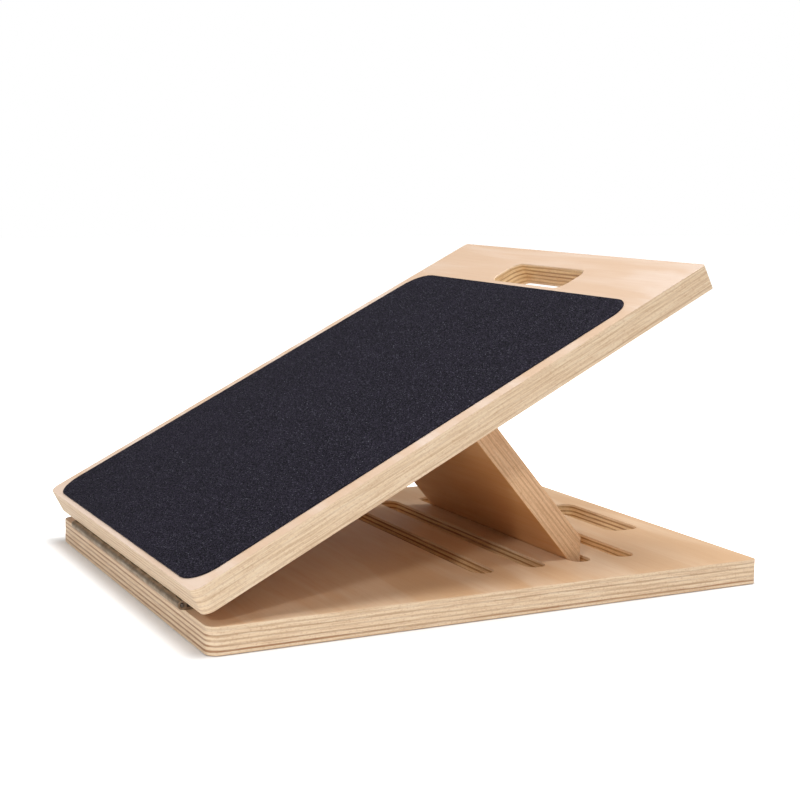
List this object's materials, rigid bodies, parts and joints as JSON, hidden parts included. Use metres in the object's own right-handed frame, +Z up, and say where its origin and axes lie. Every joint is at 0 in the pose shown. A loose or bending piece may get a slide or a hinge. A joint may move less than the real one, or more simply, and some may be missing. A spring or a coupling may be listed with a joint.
{
  "type": "slant board",
  "caption": "Plywood slant board for calf and ankle stretches: a grip-topped standing board hinged to a grooved base and held at a slope by a fold-down support board.",
  "frame": {"origin": "middle of the bounding box's bottom face, on the floor under the base board", "axes": "+Z up, +Y from the low hinge edge to the high end of the board, +X across the board"},
  "size_m": [0.33, 0.4278, 0.231],
  "materials": {
    "plywood_base": "clear satin varnish on birch plywood",
    "plywood_top": "clear satin varnish on birch plywood",
    "plywood_support": "clear satin varnish on birch plywood",
    "grip_sheet": "gritted, with fine bright specks",
    "hinge_steel": "dulled plate",
    "hinge_pin_steel": "dulled plate",
    "screw_steel": "zinc plate",
    "foot_rubber": "matte black"
  },
  "bodies": {
    "base": {"base_board": "plywood_base", "foot_pad_front_left": "foot_rubber", "foot_pad_front_right": "foot_rubber", "foot_pad_rear_left": "foot_rubber", "foot_pad_rear_right": "foot_rubber", "front_hinge_base_leaf": "hinge_steel", "front_hinge_pin": "hinge_pin_steel", "front_hinge_base_leaf_screw_1": "screw_steel", "front_hinge_base_leaf_screw_2": "screw_steel", "front_hinge_base_leaf_screw_3": "screw_steel", "front_hinge_base_leaf_screw_4": "screw_steel", "front_hinge_base_leaf_screw_5": "screw_steel"},
    "board": {"top_board": "plywood_top", "grip_sheet": "grip_sheet", "front_hinge_top_leaf": "hinge_steel", "support_hinge_board_leaf": "hinge_steel", "support_hinge_pin": "hinge_pin_steel", "front_hinge_top_leaf_screw_1": "screw_steel", "front_hinge_top_leaf_screw_2": "screw_steel", "front_hinge_top_leaf_screw_3": "screw_steel", "front_hinge_top_leaf_screw_4": "screw_steel", "front_hinge_top_leaf_screw_5": "screw_steel", "support_hinge_board_leaf_screw_1": "screw_steel", "support_hinge_board_leaf_screw_2": "screw_steel", "support_hinge_board_leaf_screw_3": "screw_steel", "support_hinge_board_leaf_screw_4": "screw_steel"},
    "support": {"support_board": "plywood_support", "support_hinge_prop_leaf": "hinge_steel", "support_hinge_prop_leaf_screw_1": "screw_steel", "support_hinge_prop_leaf_screw_2": "screw_steel", "support_hinge_prop_leaf_screw_3": "screw_steel", "support_hinge_prop_leaf_screw_4": "screw_steel"}
  },
  "joints": [
    {"name": "board_tilt", "type": "hinge", "parent": "base", "child": "board", "pos_m": [0, -0.20564, 0.0219], "axis": [1, 0, 0], "range_deg": [0, 147.9]},
    {"name": "support_swing", "type": "hinge", "parent": "board", "child": "support", "pos_m": [0, -0.00721, 0.12344], "axis": [1, 0, 0], "range_deg": [-103.5, 0]}
  ],
  "couplings": [
    {"joint": "support_swing", "follows": "board_tilt", "ratio": -0.6995}
  ]
}
